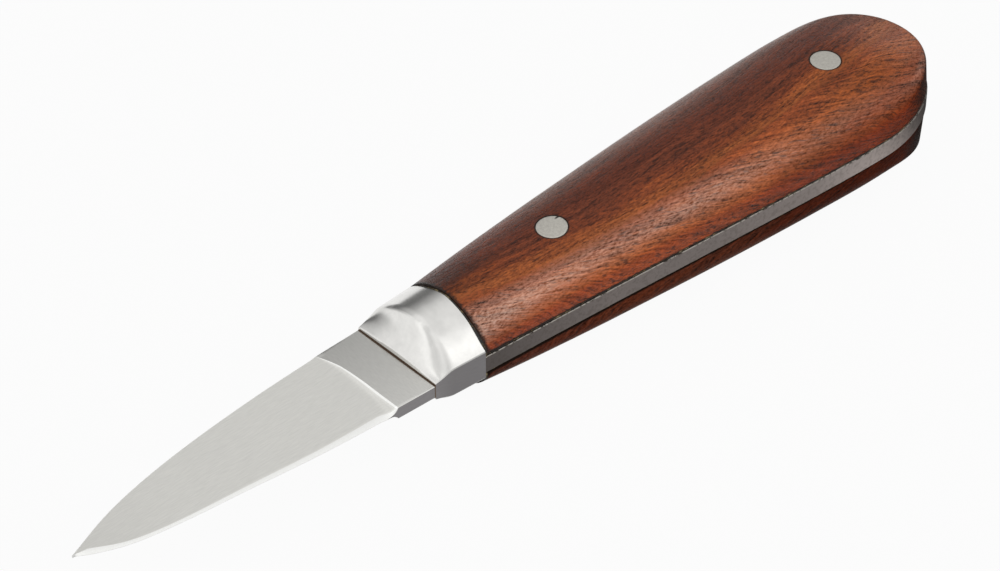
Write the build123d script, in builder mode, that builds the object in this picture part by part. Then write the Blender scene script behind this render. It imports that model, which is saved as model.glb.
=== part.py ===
from build123d import *
import os
from math import cos, pi, sin

# Oyster knife lying on its right side, in millimetres.
# +X runs along the knife to the tip, +Y to the cutting edge and +Z up through the left side.
# The origin is the middle of the knife, on the middle plane of the steel.

# Lengths along X
blade_length = 54.0             # choil to tip
ricasso_length = 6.9            # unground flat between the choil and the bolster's lip
ramp_length = 3.2               # sloping front of the bolster, lip to ridge
barrel_length = 6.55            # arched rear of the bolster, ridge to wood
handle_length = 100.55          # bolster to butt
butt_length = 18.9              # half ellipse that ends the handle

# Half widths along Y
choil_half_width = 8.45
lip_half_width = 8.7
junction_half_width = 9.25      # where bolster and wood meet
handle_half_width = 14.0        # widest, where the butt's half ellipse starts

# Steel, half thicknesses along Z
ricasso_half_thickness = 1.15
lip_half_thickness = 2.1        # the lip's middle
lip_side_half_height = 1.65     # the lip's ends, at the sides
bolster_half_thickness = 7.88   # crown of the arch
bolster_side_half_height = 2.5  # where the arch starts, at the sides
tang_half_thickness = 1.6
ground_edge_half_thickness = 0.26
edge_land_half_thickness = 0.02
bevel_width = 0.85
plunge_radius = 2.2             # hollow where the ground face meets the ricasso

# Wooden scales
junction_height = 8.15          # crown of the dome over the middle plane, at the bolster
dome_height = 10.4              # the same over the thick rear half
butt_height = 7.2               # the same at the butt
dome_side_height = 1.6          # where the dome's section starts, at its sides
side_trim = 0.1                 # what profiling takes off the sides of dome and bolster
wood_shrinkage = 0.15           # how far the wood lies inside the tang's outline
flat_depth = 0.35               # of the resting flat, under the chord that gives its slope

# Adhesive
glue_thickness = 0.25
seam_thickness = 0.3            # between the wood and the bolster's rear face
glue_recess = 0.2               # how far the adhesive lies inside the wood and the steel

# Two-part rivets
front_rivet_setback = 21.65     # bolster to the front rivet's axis
rivet_spacing = 59.3
head_radius = 2.5
sleeve_radius = 1.8
shank_radius = 1.15
seat_height = 6.4               # underside of each head over the middle plane
sleeve_reach = 3.5              # how far the sleeve passes the middle plane
shank_reach = 4.6               # how far the shank passes the middle plane
head_clearance = 0.08
hole_clearance = 0.1
shank_clearance = 0.02
tang_hole_clearance = 0.25

overrun = 4.0                   # how far cutting tools pass the steel that they cut

# Blade outline: shares of the blade's length, then of the half width at the choil
spine_shares = ((0.25, 0.925), (0.5, 0.785), (0.7, 0.595), (0.85, 0.36))
edge_shares = ((0.25, 0.905), (0.5, 0.735), (0.7, 0.6), (0.85, 0.435), (0.95, 0.19))

# Handle between bolster and widest place: shares of that length, of the growth in half width
# and of the growth in height, then the fullness of the dome's section
handle_shares = (
    (0.15, 0.147, 0.26, 2.15),
    (0.35, 0.358, 0.61, 2.4),
    (0.6, 0.653, 0.94, 2.4),
    (0.82, 0.895, 0.985, 2.4),
)
junction_fullness = 1.75
butt_fullness = 2.5
butt_share = 0.5                # place on the butt's half ellipse of one more section
butt_drop_share = 0.26          # its share of the drop from dome to butt
arch_fullness = 1.5
ramp_shares = ((0.0, 1.0), (0.5, 0.4), (1.0, 0.0))    # of the ramp's length, of the arch's height
arch_points = 10                # spans of each section's curve

overall_length = blade_length + ricasso_length + ramp_length + barrel_length + handle_length
tip_x = overall_length / 2
choil_x = tip_x - blade_length
lip_x = choil_x - ricasso_length
ridge_x = lip_x - ramp_length
junction_x = ridge_x - barrel_length
butt_x = junction_x - handle_length
widest_x = butt_x + butt_length
front_rivet_x = junction_x - front_rivet_setback
rear_rivet_x = front_rivet_x - rivet_spacing
scale_base = tang_half_thickness + glue_thickness


def cross_plane(x):
    """Plane across the knife, seen from the tip: its x is the knife's Y, its y the knife's Z."""
    return Plane(origin=(x, 0, 0), x_dir=(0, 1, 0), z_dir=(1, 0, 0))


def arch_curve(half_width, base, crown, fullness):
    """Points of an arch from the spine side over the crown to the belly side."""
    points = []
    for step in range(arch_points + 1):
        angle = pi * step / arch_points
        side = -1 if step * 2 < arch_points else 1
        across = side * half_width * abs(cos(angle)) ** (2 / fullness)
        rise = (crown - base) * abs(sin(angle)) ** (2 / fullness)
        points.append((across, base + rise))
    return points


def handle_side(inset):
    """Points of the handle's belly side, bolster to widest place."""
    run = junction_x - widest_x
    growth = handle_half_width - junction_half_width
    points = [(junction_x, junction_half_width - inset)]
    for length_share, width_share, _, _ in handle_shares:
        points.append((junction_x - run * length_share, junction_half_width + growth * width_share - inset))
    points.append((widest_x, handle_half_width - inset))
    return points


def mirrored(points):
    return [(x, -y) for x, y in points]


def handle_outline(inset):
    """Outline of the handle, bolster to butt."""
    belly = handle_side(inset)
    spine = mirrored(belly)
    flare = (junction_x - lip_x, junction_half_width - lip_half_width)
    with BuildSketch() as outline:
        with BuildLine():
            Line(spine[0], belly[0])
            Spline(belly, tangents=(flare, (-1, 0)))
            EllipticalCenterArc(
                (widest_x, 0), butt_length - inset, handle_half_width - inset, start_angle=90, arc_size=180
            )
            Spline(spine, tangents=((flare[0], -flare[1]), (-1, 0)))
        make_face()
    return outline.sketch


def arch_section(curve, base):
    """Section under an arch, down to a straight base."""
    with BuildSketch() as section:
        with BuildLine():
            Spline(curve)
            Polyline(curve[-1], (curve[-1][0], base), (curve[0][0], base), curve[0])
        make_face()
    return section.sketch


def rivet_places():
    return Locations((front_rivet_x, 0), (rear_rivet_x, 0))


# Forged blade: blade and ricasso
lip = (lip_x, lip_half_width)
choil = (choil_x, choil_half_width)
spine_lip, spine_choil = mirrored([lip, choil])
edge_side = [(choil_x + blade_length * run, choil_half_width * rise) for run, rise in edge_shares]
spine_side = [(choil_x + blade_length * run, -choil_half_width * rise) for run, rise in spine_shares]
tip = (tip_x, 0)

with BuildPart() as blade_blank:
    with BuildSketch():
        with BuildLine():
            Polyline(spine_choil, spine_lip, (ridge_x, -lip_half_width), (ridge_x, lip_half_width), lip, choil)
            Spline([choil, *edge_side, tip])
            Spline([spine_choil, *spine_side, tip])
        make_face()
    extrude(amount=ricasso_half_thickness, both=True)

# Grinding: a sloping face from full thickness at the spine to a thin edge, with a hollow at its rear
plunge_x = choil_x + plunge_radius
spine_point = Vector(plunge_x, -choil_half_width, ricasso_half_thickness)
edge_point = Vector(plunge_x, choil_half_width, ground_edge_half_thickness)
tip_point = Vector(tip_x, 0, ground_edge_half_thickness)
across = edge_point - spine_point
along = tip_point - edge_point

with BuildPart() as grinding:
    with BuildSketch(Plane(origin=spine_point, x_dir=across, z_dir=along.cross(across))):
        with Locations((-overrun, plunge_radius)):
            Rectangle(
                across.length + 2 * overrun,
                blade_length + overrun,
                align=(Align.MIN, Align.MAX),
            )
    extrude(amount=overrun)
    rear_face = grinding.faces().sort_by(Axis.X)[0]
    fillet(rear_face.edges().sort_by(Axis.Z)[0], radius=plunge_radius)

# Bevel along the cutting edge
with BuildLine() as edge_line:
    Spline([choil, *edge_side, tip])
bevel_start_share = plunge_radius / blade_length
bevel_path = edge_line.edge().trim(bevel_start_share, 1)
bevel_reach = 2 * bevel_width
bevel_rise = (ground_edge_half_thickness - edge_land_half_thickness) * bevel_reach / bevel_width

with BuildPart() as bevel:
    with BuildSketch(Plane(origin=bevel_path @ 0, x_dir=(0, 0, 1), z_dir=bevel_path % 0)):
        with BuildLine():
            Polyline(
                (edge_land_half_thickness, -overrun),
                (edge_land_half_thickness, 0),
                (edge_land_half_thickness + bevel_rise, bevel_reach),
                (overrun, bevel_reach),
                (overrun, -overrun),
                close=True,
            )
        make_face()
    sweep(path=bevel_path)

# Bolster: an arched barrel, and a ramp that falls hollow from its ridge to the lip


def flare_half_width(x):
    """Half width of the bolster, which widens evenly from lip to junction."""
    share = (lip_x - x) / (lip_x - junction_x)
    return lip_half_width + (junction_half_width - lip_half_width) * share


def bolster_section(x, height_share):
    """The bolster's section, with its arch flattened towards the lip."""
    side = lip_side_half_height + (bolster_side_half_height - lip_side_half_height) * height_share
    crown = lip_half_thickness + (bolster_half_thickness - lip_half_thickness) * height_share
    top = arch_curve(flare_half_width(x) + side_trim, side, crown, arch_fullness)
    bottom = mirrored(top)
    with BuildSketch() as section:
        with BuildLine():
            Spline(top)
            Line(top[-1], bottom[-1])
            Spline(bottom)
            Line(bottom[0], top[0])
        make_face()
    return section.sketch


barrel_sections = [(x, bolster_section(x, 1)) for x in (junction_x, ridge_x)]
ramp_sections = []
for length_share, height_share in ramp_shares:
    x = ridge_x + ramp_length * length_share
    ramp_sections.append((x, bolster_section(x, height_share)))

with BuildPart() as ramp:
    for x, section in ramp_sections:
        with BuildSketch(cross_plane(x)):
            add(section)
    loft()

with BuildPart() as bolster:
    for x, section in barrel_sections:
        with BuildSketch(cross_plane(x)):
            add(section)
    loft()
    add(ramp.part)
    with BuildSketch():
        flare = [lip, (junction_x, junction_half_width)]
        Polygon(*flare, *reversed(mirrored(flare)), align=None)
    extrude(amount=bolster_half_thickness + overrun, both=True, mode=Mode.INTERSECT)

tang_outline = handle_outline(0)

with BuildPart() as forged_blade:
    add(blade_blank.part)
    add(grinding.part, mode=Mode.SUBTRACT)
    mirror(grinding.part, about=Plane.XY, mode=Mode.SUBTRACT)
    add(bevel.part, mode=Mode.SUBTRACT)
    mirror(bevel.part, about=Plane.XY, mode=Mode.SUBTRACT)
    add(bolster.part)
    with BuildSketch():
        add(tang_outline)
    extrude(amount=tang_half_thickness, both=True)
    with rivet_places():
        Hole(sleeve_radius + tang_hole_clearance)

# Dome that both scales and the rivets' heads follow, over the middle plane
dome_stations = [(0, junction_half_width, junction_height, junction_fullness)]
for length_share, width_share, height_share, fullness in handle_shares:
    dome_stations.append((
        length_share * (junction_x - widest_x),
        junction_half_width + (handle_half_width - junction_half_width) * width_share,
        junction_height + (dome_height - junction_height) * height_share,
        fullness,
    ))
dome_stations.append((handle_length - butt_length, handle_half_width, dome_height, butt_fullness))
dome_stations.append((
    handle_length - butt_length * (1 - butt_share),
    handle_half_width,
    dome_height - (dome_height - butt_height) * butt_drop_share,
    butt_fullness,
))
dome_stations.append((handle_length, handle_half_width, butt_height, butt_fullness))

dome_sections = [
    (junction_x - setback, arch_section(arch_curve(half_width + side_trim, dome_side_height, height, fullness), 0))
    for setback, half_width, height, fullness in dome_stations
]

with BuildPart() as dome:
    for x, section in dome_sections:
        with BuildSketch(cross_plane(x)):
            add(section)
    loft()

# Resting flat under the balance point, sanded parallel to the chord between the second and third crowns
flat_ends = [Vector(junction_x - setback, 0, height) for setback, _, height, _ in dome_stations[2:4]]
flat_run = flat_ends[0] - flat_ends[1]
flat_normal = flat_run.cross(Vector(0, 1, 0))
resting_flat = Plane(origin=flat_ends[1], x_dir=flat_run, z_dir=flat_normal).offset(-flat_depth)

with BuildPart() as sanding:
    with BuildSketch(resting_flat):
        Rectangle(handle_length, 2 * handle_half_width)
    extrude(amount=dome_height)

wood_outline = handle_outline(wood_shrinkage)

# Left scale: the dome profiled to the handle's outline, drilled and counterbored for the rivets
with BuildPart() as left_handle_scale:
    add(dome.part)
    with BuildSketch(Plane.XY.offset(scale_base)):
        add(wood_outline)
    extrude(amount=dome_height, mode=Mode.INTERSECT)
    with BuildSketch(cross_plane(junction_x)):
        Rectangle(2 * handle_half_width, 2 * (dome_height + overrun))
    extrude(amount=-seam_thickness, mode=Mode.SUBTRACT)
    with BuildSketch(Plane.XY.offset(scale_base)):
        with rivet_places():
            Circle(sleeve_radius + hole_clearance)
    extrude(amount=dome_height, mode=Mode.SUBTRACT)
    with BuildSketch(Plane.XY.offset(seat_height)):
        with rivet_places():
            Circle(head_radius + head_clearance)
    extrude(amount=dome_height, mode=Mode.SUBTRACT)

# Right scale: the mirror image, with the resting flat
with BuildPart() as right_handle_scale:
    mirror(left_handle_scale.part, about=Plane.XY)
    mirror(sanding.part, about=Plane.XY, mode=Mode.SUBTRACT)

# Left film of adhesive: a thin bed on the tang, turned up against the bolster's rear face
seam_arch = arch_curve(
    junction_half_width - glue_recess,
    bolster_side_half_height - glue_recess,
    bolster_half_thickness - glue_recess,
    arch_fullness,
)
seam_section = arch_section(seam_arch, tang_half_thickness)
glue_outline = handle_outline(wood_shrinkage + glue_recess)

with BuildPart() as left_glue_film:
    with BuildSketch(Plane.XY.offset(tang_half_thickness)):
        add(glue_outline)
        with rivet_places():
            Circle(sleeve_radius + hole_clearance, mode=Mode.SUBTRACT)
    extrude(amount=glue_thickness)
    with BuildSketch(cross_plane(junction_x)):
        add(seam_section)
    extrude(amount=-seam_thickness)

with BuildPart() as right_glue_film:
    mirror(left_glue_film.part, about=Plane.XY)


def rivet_half(x, shank_radius, reach, bore_radius=0):
    """One half of a rivet, its head flush with the left dome and its shank pointing down."""
    with BuildPart() as half:
        with BuildSketch(Plane.XY.offset(seat_height)):
            with Locations((x, 0)):
                Circle(head_radius)
        extrude(amount=dome_height)
        add(dome.part, mode=Mode.INTERSECT)
        with BuildSketch(Plane.XY.offset(seat_height)):
            with Locations((x, 0)):
                Circle(shank_radius)
                if bore_radius:
                    Circle(bore_radius, mode=Mode.SUBTRACT)
        extrude(amount=-(seat_height + reach))
    return half.part


pieces = {
    "forged_blade": forged_blade.part,
    "left_handle_scale": left_handle_scale.part,
    "right_handle_scale": right_handle_scale.part,
    "left_glue_film": left_glue_film.part,
    "right_glue_film": right_glue_film.part,
}
for place, rivet_x in (("front", front_rivet_x), ("rear", rear_rivet_x)):
    pieces[f"{place}_rivet_stud"] = rivet_half(rivet_x, shank_radius, shank_reach)
    with BuildPart() as sleeve:
        bore_radius = shank_radius + shank_clearance
        mirror(rivet_half(rivet_x, sleeve_radius, sleeve_reach, bore_radius), about=Plane.XY)
        mirror(sanding.part, about=Plane.XY, mode=Mode.SUBTRACT)
    pieces[f"{place}_rivet_sleeve"] = sleeve.part

os.makedirs("parts", exist_ok=True)
for name, piece in pieces.items():
    piece.label = name
    export_step(piece, f"parts/{name}.step")
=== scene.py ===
import bmesh
import bpy
import math
from mathutils import Matrix, Vector, noise


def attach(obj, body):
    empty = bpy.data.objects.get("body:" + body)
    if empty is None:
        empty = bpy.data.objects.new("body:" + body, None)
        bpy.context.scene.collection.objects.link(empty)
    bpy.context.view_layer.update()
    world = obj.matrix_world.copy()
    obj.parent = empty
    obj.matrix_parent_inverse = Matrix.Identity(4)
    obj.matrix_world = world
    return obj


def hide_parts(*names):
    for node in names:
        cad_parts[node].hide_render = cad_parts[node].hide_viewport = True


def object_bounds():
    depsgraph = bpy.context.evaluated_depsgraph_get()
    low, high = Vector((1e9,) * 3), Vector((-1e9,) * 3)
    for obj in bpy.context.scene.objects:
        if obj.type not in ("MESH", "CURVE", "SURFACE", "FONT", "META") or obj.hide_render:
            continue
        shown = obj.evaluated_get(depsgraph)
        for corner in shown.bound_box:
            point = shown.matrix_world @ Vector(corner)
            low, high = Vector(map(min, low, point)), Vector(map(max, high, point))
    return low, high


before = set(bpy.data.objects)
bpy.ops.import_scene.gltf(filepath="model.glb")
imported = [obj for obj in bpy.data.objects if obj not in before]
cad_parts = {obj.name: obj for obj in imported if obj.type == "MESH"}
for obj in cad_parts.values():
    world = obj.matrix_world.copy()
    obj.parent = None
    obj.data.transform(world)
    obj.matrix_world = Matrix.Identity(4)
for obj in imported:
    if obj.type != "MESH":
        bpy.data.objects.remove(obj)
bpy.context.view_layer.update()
print("frame loaded:", sorted(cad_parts))

# Sizes of the knife in millimetres. +X is the tip, +Y the cutting edge, +Z the left side.
knife = {
    "tipX": 85.6,
    "choilX": 31.6,
    "lipX": 24.7,
    "ridgeX": 21.5,
    "junctionX": 14.95,
    "widestX": -66.7,
    "buttX": -85.59,
    "choilHalf": 8.45,
    "lipHalf": 8.7,
    "junctionHalf": 9.25,
    "handleHalf": 14,
    "tangHalf": 1.6,
    "glueThickness": 0.25,
    "seamThickness": 0.3,
    "rivetX": {"front": -6.7, "rear": -66},
}


def linear(hexColour):
    # sRGB hex to the linear values that the shader sockets take
    values = [int(hexColour[i:i + 2], 16) / 255 for i in (1, 3, 5)]
    return [v / 12.92 if v <= 0.04045 else ((v + 0.055) / 1.055) ** 2.4 for v in values] + [1]


def curveThrough(points, startSlope=None, endSlope=None):
    # smooth curve through (x, value) points, as a function of x
    points = sorted(points)
    last = len(points) - 1
    slopes = []
    for i in range(last + 1):
        before, after = points[max(i - 1, 0)], points[min(i + 1, last)]
        slopes.append((after[1] - before[1]) / (after[0] - before[0]))
    if startSlope is not None:
        slopes[0] = startSlope
    if endSlope is not None:
        slopes[last] = endSlope

    def value(x):
        i = 0
        while i < last - 1 and x > points[i + 1][0]:
            i += 1
        (x0, y0), (x1, y1) = points[i], points[i + 1]
        span = x1 - x0
        t = min(max((x - x0) / span, 0), 1)
        return (
            (2 * t ** 3 - 3 * t ** 2 + 1) * y0
            + (t ** 3 - 2 * t ** 2 + t) * span * slopes[i]
            + (3 * t ** 2 - 2 * t ** 3) * y1
            + (t ** 3 - t ** 2) * span * slopes[i + 1]
        )
    return value


def blend(first, second, share):
    return first + (second - first) * share


def ease(low, high, x):
    t = min(max((x - low) / (high - low), 0), 1)
    return t * t * (3 - 2 * t)


def ripple(x, y, z, size):
    # smooth random value from -1 to 1, with features about size mm long
    return noise.noise(Vector((x / size, y / size, z / size)))


def skin(mesh, loops, pickMaterial=None, capEnd=True):
    # quads between closed loops of points in mm, with fans over both ends or only over the first
    rings = [[mesh.verts.new(Vector(point) / 1000) for point in loop] for loop in loops]
    count = len(rings[0])
    for row in range(len(rings) - 1):
        for i in range(count):
            j = (i + 1) % count
            face = mesh.faces.new((rings[row][i], rings[row][j], rings[row + 1][j], rings[row + 1][i]))
            if pickMaterial:
                face.material_index = pickMaterial(row, i)
    ends = [(rings[0], 0), (rings[-1], len(rings) - 2)]
    for ring, row in ends if capEnd else ends[:1]:
        middle = mesh.verts.new(sum((v.co for v in ring), Vector()) / count)
        for i in range(count):
            face = mesh.faces.new((ring[i], ring[(i + 1) % count], middle))
            if pickMaterial:
                face.material_index = pickMaterial(row, i)


cleanup = {"weld": 0.002, "sliver": 0.0005}  # gaps and edges up to this size in mm are closed


def addObject(name, data):
    thing = bpy.data.objects.new(name, data)
    bpy.context.scene.collection.objects.link(thing)
    return thing


def meshObject(name, mesh):
    bmesh.ops.recalc_face_normals(mesh, faces=mesh.faces)
    data = bpy.data.meshes.new(name)
    mesh.to_mesh(data)
    mesh.free()
    return addObject(name, data)


def makePiece(name, mesh, materials, node, sharpAngle):
    bmesh.ops.remove_doubles(mesh, verts=mesh.verts, dist=cleanup["weld"] / 1000)
    bmesh.ops.dissolve_degenerate(mesh, edges=mesh.edges, dist=cleanup["sliver"] / 1000)
    piece = meshObject(name, mesh)
    for polygon in piece.data.polygons:
        polygon.use_smooth = True
    piece.data.set_sharp_from_angle(angle=math.radians(sharpAngle))
    for material in materials:
        piece.data.materials.append(material)
    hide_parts(node)
    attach(piece, "root")
    return piece


def feed(node, inputs):
    # sets inputs of a node, or links them from a socket or from another node's first output in use
    for key, source in (inputs if isinstance(inputs, dict) else dict(enumerate(inputs))).items():
        if isinstance(source, bpy.types.Node):
            source = next(output for output in source.outputs if output.enabled)
        if isinstance(source, bpy.types.NodeSocket):
            node.id_data.links.new(source, node.inputs[key])
        else:
            node.inputs[key].default_value = source


def addNode(nodes, kind, inputs=(), **settings):
    # one node with its settings and its inputs; kind leaves out "ShaderNode"
    node = nodes.new("ShaderNode" + kind)
    for key, value in settings.items():
        setattr(node, key, value)
    feed(node, inputs)
    return node


def startMaterial(name):
    material = bpy.data.materials.new(name)
    material.use_nodes = True
    nodes = material.node_tree.nodes
    shader = nodes["Principled BSDF"]
    place = addNode(nodes, "TexCoord").outputs["Object"]
    return material, nodes, shader, place


def fillRamp(ramp, stops):
    elements = ramp.color_ramp.elements
    while len(elements) < len(stops):
        elements.new(0.5)
    for element, (position, colour) in zip(elements, stops):
        element.position = position
        element.color = linear(colour) if isinstance(colour, str) else (colour, colour, colour, 1)


def along(nodes, source, stops):
    # a value that follows the given (place, value) stops along a socket
    start, end = stops[0][0], stops[-1][0]
    share = addNode(nodes, "MapRange", {"Value": source, "From Min": start, "From Max": end})
    ramp = addNode(nodes, "ValToRGB", {"Fac": share})
    fillRamp(ramp, [((place - start) / (end - start), value) for place, value in stops])
    return ramp


# what the forging's areas look like, in the order of the material slots
steelLooks = {
    # brushing: scratches per mm along x, y and z; fade: brightness at places in mm along an axis
    "satinGroundSteel": {"colour": "#eae9e4", "roughness": 0.34, "brushing": (0.5, 7, 7), "bump": 0.06,
        "fade": ("X", ((50, 1), (70, 0.98), (85, 0.92)))},
    # the ricasso: its fade is painted light, lighter towards the belly side and darker towards the spine
    "satinForgedSteel": {"colour": "#d2d1cd", "roughness": 0.38, "brushing": (6, 0.8, 6), "bump": 0.05,
        "fade": ("Y", ((-8, 0.86), (8, 1.18)))},
    "buffedForgedSteel": {"colour": "#e3e2df", "roughness": 0.18, "brushing": (0.4, 0.4, 0.4), "bump": 0.03},
    # the tang: its fade is painted shade and light, darker towards the bolster and at the very butt, lighter
    # just before the butt
    "beltGroundSteel": {"colour": "#aca19c", "roughness": 0.42, "brushing": (0.6, 8, 8), "bump": 0.12,
        "fade": ("X", ((-81.5, 0.6), (-79, 0.95), (-75, 1.4), (-70, 1.6), (-50, 0.8), (-30, 0.62),
                       (-10, 0.6), (12, 0.34))),
        "specks": ("#4a4038", 0.25)},
    "honedSteel": {"colour": "#fcfcf8", "roughness": 0.3, "brushing": (6, 6, 6), "bump": 0.05},
    "darkCornerSteel": {"colour": "#7f6f62", "roughness": 0.5, "brushing": (4, 2, 4), "bump": 0.2},
    # the flat side faces along the spine and belly: darker steel as painted shade
    "profiledSteelPaintedShade": {"colour": "#918e8f", "roughness": 0.36, "brushing": (0.8, 6, 6), "bump": 0.06,
        "fade": ("X", ((21, 1), (26, 1.25)))},
    "brokenEdgeSteel": {"colour": "#a09b94", "roughness": 0.4, "brushing": (1.5, 6, 6), "bump": 0.1,
        "specks": ("#241d17", 0.95)},
}
# texture that all of them share
steelGrain = {
    "scratches": {"Scale": 1, "Detail": 4, "Roughness": 0.65},
    "contrast": ((0.3, 0.93), (0.7, 1.05)),
    "clouds": {"Scale": 180, "Detail": 3},  # cloudy patches 6 mm wide, seen in the gloss only
    "cloudSpread": (-0.04, 0.05),
    "grime": {"Scale": 1500, "Detail": 4, "Roughness": 0.7},
    "grimeEdge": {"From Min": 0.5, "From Max": 0.6},
    "bumpDepth": 0.00005,
}


def steel(name):
    # stainless knife steel: neutral grey metal, fine scratches left by the belt or the buffing wheel
    look = steelLooks[name]
    material, nodes, shader, place = startMaterial(name)
    perMetre = [1000 * perMm for perMm in look["brushing"]]
    stretched = addNode(nodes, "Mapping", {"Vector": place, "Scale": perMetre})
    scratches = addNode(nodes, "TexNoise", {"Vector": stretched, **steelGrain["scratches"]})
    clouds = addNode(nodes, "TexNoise", {"Vector": place, **steelGrain["clouds"]})
    colour = addNode(nodes, "ValToRGB", {"Fac": scratches})
    for element, (position, factor) in zip(colour.color_ramp.elements, steelGrain["contrast"]):
        element.position = position
        element.color = [*[min(value * factor, 1) for value in linear(look["colour"])[:3]], 1]
    if "fade" in look:
        axis, stops = look["fade"]
        axes = addNode(nodes, "SeparateXYZ", {"Vector": place})
        fade = along(nodes, axes.outputs[axis], [(mm / 1000, value) for mm, value in stops])
        colour = addNode(nodes, "VectorMath", [colour, fade], operation="MULTIPLY")
    if "specks" in look:
        speckColour, amount = look["specks"]
        grime = addNode(nodes, "TexNoise", {"Vector": place, **steelGrain["grime"]})
        cover = addNode(nodes, "MapRange", {"Value": grime, **steelGrain["grimeEdge"], "To Max": amount})
        colour = addNode(nodes, "Mix", {0: cover, "A": colour, "B": linear(speckColour)}, data_type="RGBA")
    smoothest, roughest = [look["roughness"] + spread for spread in steelGrain["cloudSpread"]]
    rough = addNode(nodes, "MapRange", {"Value": clouds, "To Min": smoothest, "To Max": roughest})
    relief = {"Strength": look["bump"], "Distance": steelGrain["bumpDepth"]}
    bump = addNode(nodes, "Bump", {"Height": scratches, **relief})
    feed(shader, {"Base Color": colour, "Roughness": rough, "Normal": bump, "Metallic": 1})
    return material


# the forging: blade, ricasso, bolster and tang
blade = {
    "columns": 49,  # points across each face
    "spineShares": ((0, 1), (0.25, 0.925), (0.5, 0.785), (0.7, 0.595), (0.85, 0.36), (1, 0)),
    "edgeShares": ((0, 1), (0.25, 0.905), (0.5, 0.735), (0.7, 0.6), (0.85, 0.435), (0.95, 0.19), (1, 0)),
    "ricassoHalf": 1.15,
    "groundEdge": 0.26,  # half thickness that the grind leaves at the edge
    "plungeX": 33.8,  # where the flat of the grind starts
    "plungeCrease": ((-8.45, 33.7), (-7, 33.1), (-5.5, 32.6), (-4, 32.22), (-1, 31.9), (2, 31.75),
                     (5, 31.68), (8.45, 31.55)),
    "creaseFade": 1,  # how far in front of the lip the crease's curve has died out
    "hollow": (6, 3),  # how sharply the hollow turns up, at the spine and at the edge
    "hollowWidens": 3,  # where on the edge side that starts to change
    "bevelSlope": 0.2824,
    "bevelShare": 0.45,  # most of the blade's width that the bevel takes
    "tipBevel": (0.5, 70, 85),  # how much wider it gets towards the tip, from where to where
    "edgeLand": 0.02,
    "thinnest": 0.06,
    "sideDrop": 0.08,  # how far the outer points of a face lie below it
    "spineRound": 0.16,
    "roundShare": 0.3,  # most of the blade's width that the spine's round takes
    "roundDrop": (0.7, 0.4),  # its depth over its width, and at most over the thickness
    "bladeRows": 70,
    "bladeSpread": 1.25,  # the rows lie closer together towards the tip
    "plungeRows": 16,
    "plungeSpread": 1.6,  # and towards the crease
    "brightRows": 4,  # rows of the hollow that the belt's corner has burnished, in brighter steel that also paints a highlight along the crease
    "ricassoRows": 6,
    "lipFrom": 0.2,  # share of the ricasso's length where its rows start to follow the lip
    "darkCornerFrom": 0.967,  # and where the darker steel in the corner under the lip starts
}
bolster = {
    "lipCrown": 2.1,
    "lipSide": 1.65,
    "lipRound": 0.12,
    "lipSkew": 0.3,  # the lip lies further forward at the spine than at the belly
    "darkCornerRise": 0.45,
    "rampHollow": 0.4,
    "crown": 7.88,
    "side": 2.5,
    "sideTrim": 0.1,  # the arch ends this far outside the side face
    "sideInset": 0.12,  # the outer points: next to them, below the arch, and where it is read
    "sideDrop": 0.1,
    "sideGap": 0.02,
    "fullness": 1.5,
    "bellyFullness": 1.9,  # the belly side meets the side face at a clear angle
    "bellyFrom": 0.7,  # share of the half width from which it has that fullness
    "ridgeSoftness": (0.14, 0.42),  # at the crown and at the belly
    "ridgeSoftens": 6,
    "rampRows": 26,
    "barrelRows": 12,
}

bladeLength = knife["tipX"] - knife["choilX"]
spineCurve, edgeCurve = [
    curveThrough([(knife["choilX"] + bladeLength * run, knife["choilHalf"] * rise) for run, rise in shares])
    for shares in (blade["spineShares"], blade["edgeShares"])
]
plungeX = blade["plungeX"]
lastColumn = blade["columns"] - 1
innerSteps = lastColumn - 2
groundAcross = (blade["groundEdge"] - blade["ricassoHalf"]) / (2 * knife["choilHalf"])
groundAlong = groundAcross * knife["choilHalf"] / (knife["tipX"] - plungeX)


def groundHeight(x, y):
    return blade["ricassoHalf"] + groundAcross * (y + knife["choilHalf"]) + groundAlong * (x - plungeX)


def ricassoHalfWidth(x):
    share = (knife["choilX"] - x) / (knife["choilX"] - knife["lipX"])
    return blend(knife["choilHalf"], knife["lipHalf"], min(max(share, 0), 1))


def acrossPlaces(low, high, lowInset, highInset):
    # the outer point on each side, its inset neighbour, and even steps between
    start, run = low + lowInset, high - highInset - low - lowInset
    return [low, *[start + run * i / innerSteps for i in range(innerSteps + 1)], high]


def bladeRow(x):
    spine, edge = spineCurve(x), edgeCurve(x)
    width = spine + edge
    widening, start, end = blade["tipBevel"]
    bevel = (groundHeight(x, edge) - blade["edgeLand"]) / (blade["bevelSlope"] + groundAcross)
    bevel = min(bevel * (1 + widening * ease(start, end, x)), blade["bevelShare"] * width)
    inset = min(blade["spineRound"], blade["roundShare"] * width)
    deep, most = blade["roundDrop"]
    row = []
    for i, y in enumerate(acrossPlaces(-spine, edge, inset, bevel)):
        z = max(groundHeight(x, y), blade["thinnest"])
        if i == 0:
            z -= min(deep * inset, most * z)
        if i == lastColumn:
            z = blade["edgeLand"]
        row.append((x, y, z))
    return row


plungeCrease = curveThrough(blade["plungeCrease"])


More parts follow.
